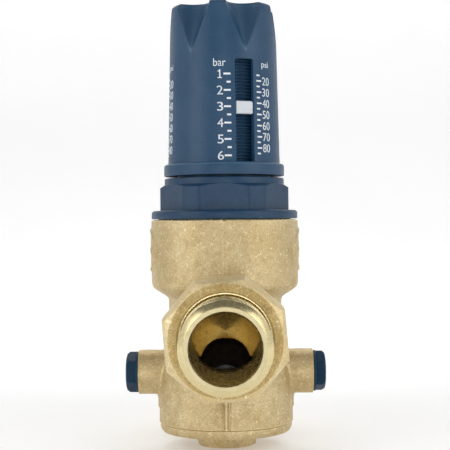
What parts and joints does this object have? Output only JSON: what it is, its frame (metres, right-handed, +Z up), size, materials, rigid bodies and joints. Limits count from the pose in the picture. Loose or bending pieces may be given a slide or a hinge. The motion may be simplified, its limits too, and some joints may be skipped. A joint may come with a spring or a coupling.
{
  "type": "water pressure regulator",
  "caption": "Inline water pressure regulator with a ribbed adjusting cap and printed scale, plastic spring bonnet, cast brass body, gauge plugs and union connections.",
  "frame": {"origin": "on the valve axis at the underside of the bottom plug's hexagon, which is the middle of the bounding box's base", "axes": "+Z up along the valve axis towards the adjusting cap, +Y along the flow towards the outlet, +X towards the right-hand gauge port seen from the inlet"},
  "size_m": [0.0822, 0.18, 0.1804],
  "materials": {
    "cast_brass": "rough hot-pressed brass, sand-blasted grain",
    "machined_brass": "turned brass, bright",
    "cap_plastic": "deep-blue moulded plastic, fine matt texture",
    "bonnet_plastic": "deep-blue glass-filled plastic, satin",
    "plug_plastic": "dark-blue plastic, satin",
    "white_plastic": "white plastic, satin",
    "steel": "stainless steel, satin",
    "rubber": "black moulded rubber",
    "gasket_fibre": "flat compressed-fibre gasket"
  },
  "bodies": {
    "root": {"valve_body": "cast_brass", "bonnet": "bonnet_plastic", "bottom_plug": "cast_brass", "bottom_plug_seal": "rubber", "strainer": "steel", "seat_insert": "machined_brass", "insert_seal_upper": "rubber", "insert_seal_lower": "rubber", "slip_ring": "steel", "diaphragm": "rubber", "thrust_washer": "steel", "gauge_plug_left": "plug_plastic", "gauge_plug_right": "plug_plastic", "gauge_plug_seal_left": "rubber", "gauge_plug_seal_right": "rubber", "union_gasket_inlet": "gasket_fibre", "union_gasket_outlet": "gasket_fibre"},
    "handle": {"adjusting_cap": "cap_plastic", "cap_screw": "steel", "adjusting_spindle": "machined_brass"},
    "indicator": {"indicator_ring": "white_plastic"},
    "carrier": {"spring_carrier": "machined_brass", "pressure_spring": "steel"},
    "stem": {"valve_stem": "machined_brass", "piston_seal": "rubber", "diaphragm_plate": "steel", "stem_nut": "steel", "seal_holder": "machined_brass", "seal_disc": "rubber", "seal_nut": "steel"},
    "inlet_tail": {"tailpiece_inlet": "machined_brass"},
    "inlet_nut": {"union_nut_inlet": "cast_brass"},
    "outlet_tail": {"tailpiece_outlet": "machined_brass"},
    "outlet_nut": {"union_nut_outlet": "cast_brass"}
  },
  "joints": [
    {"name": "handle_turn", "type": "hinge", "parent": "root", "child": "handle", "pos_m": [0, 0, 0.1654], "axis": [0, 0, 1], "range_deg": [-4950, 3420]},
    {"name": "indicator_slide", "type": "slide", "parent": "handle", "child": "indicator", "axis": [0, 0, 1], "range_m": [-0.01857, 0.01283]},
    {"name": "carrier_slide", "type": "slide", "parent": "root", "child": "carrier", "axis": [0, 0, 1], "range_m": [-0.01857, 0.01283], "deforming": ["pressure_spring"]},
    {"name": "stem_slide", "type": "slide", "parent": "root", "child": "stem", "axis": [0, 0, 1], "range_m": [0, 0.0022], "stiffness_N_per_m": 2000, "springref_m": -0.002, "deforming": ["diaphragm"]},
    {"name": "inlet_nut_turn", "type": "hinge", "parent": "inlet_tail", "child": "inlet_nut", "pos_m": [0, -0.052, 0.0484], "axis": [0, -1, 0], "range_deg": [0, 1440]},
    {"name": "inlet_tail_slide", "type": "slide", "parent": "root", "child": "inlet_tail", "axis": [0, -1, 0], "range_m": [0, 0.00925]},
    {"name": "outlet_nut_turn", "type": "hinge", "parent": "outlet_tail", "child": "outlet_nut", "pos_m": [0, 0.052, 0.0484], "axis": [0, 1, 0], "range_deg": [0, 1440]},
    {"name": "outlet_tail_slide", "type": "slide", "parent": "root", "child": "outlet_tail", "axis": [0, 1, 0], "range_m": [0, 0.00925]}
  ],
  "couplings": [
    {"joint": "indicator_slide", "follows": "handle_turn", "m_per_rad": 0.00021486},
    {"joint": "carrier_slide", "follows": "handle_turn", "m_per_rad": 0.00021486},
    {"joint": "inlet_tail_slide", "follows": "inlet_nut_turn", "m_per_rad": 0.00036749},
    {"joint": "outlet_tail_slide", "follows": "outlet_nut_turn", "m_per_rad": 0.00036749}
  ]
}
